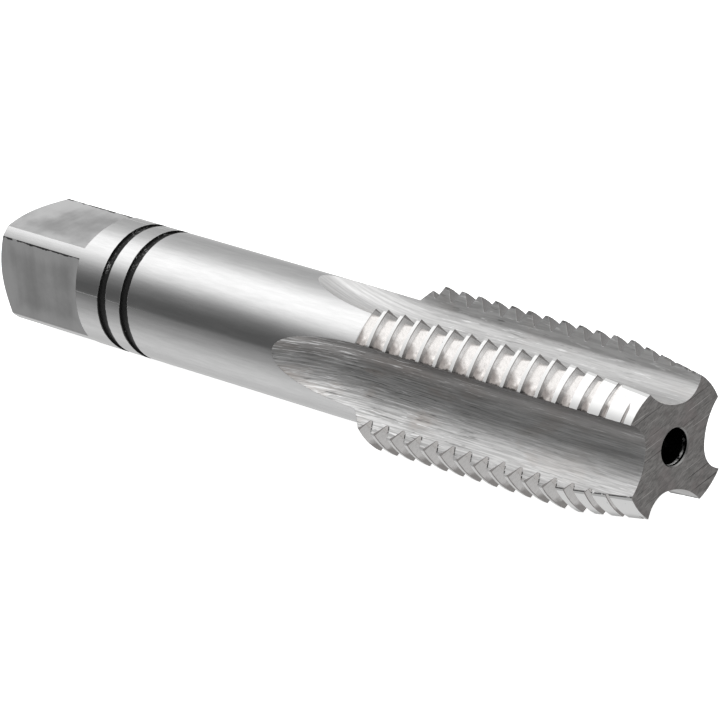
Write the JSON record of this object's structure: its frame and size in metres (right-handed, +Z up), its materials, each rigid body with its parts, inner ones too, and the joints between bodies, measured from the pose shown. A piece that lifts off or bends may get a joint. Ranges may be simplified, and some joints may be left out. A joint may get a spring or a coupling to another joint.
{
  "type": "hand tap",
  "caption": "Right-hand hand tap with straight flutes, tapered lead, plain shank with black ring grooves and a square drive end.",
  "frame": {"origin": "on the tap's axis, in the plane of the rear end face of the drive square", "axes": "+X along the axis from the drive square to the front face, +Z up with one flute facing straight up and one straight down, +Y to the side so that a flute faces it"},
  "size_m": [0.0797, 0.0134, 0.0134],
  "materials": {
    "tool_steel": "bright ground high-speed steel, satin on the shank and milled in the flutes"
  },
  "bodies": {
    "root": {"tap": "tool_steel"}
  },
  "joints": []
}
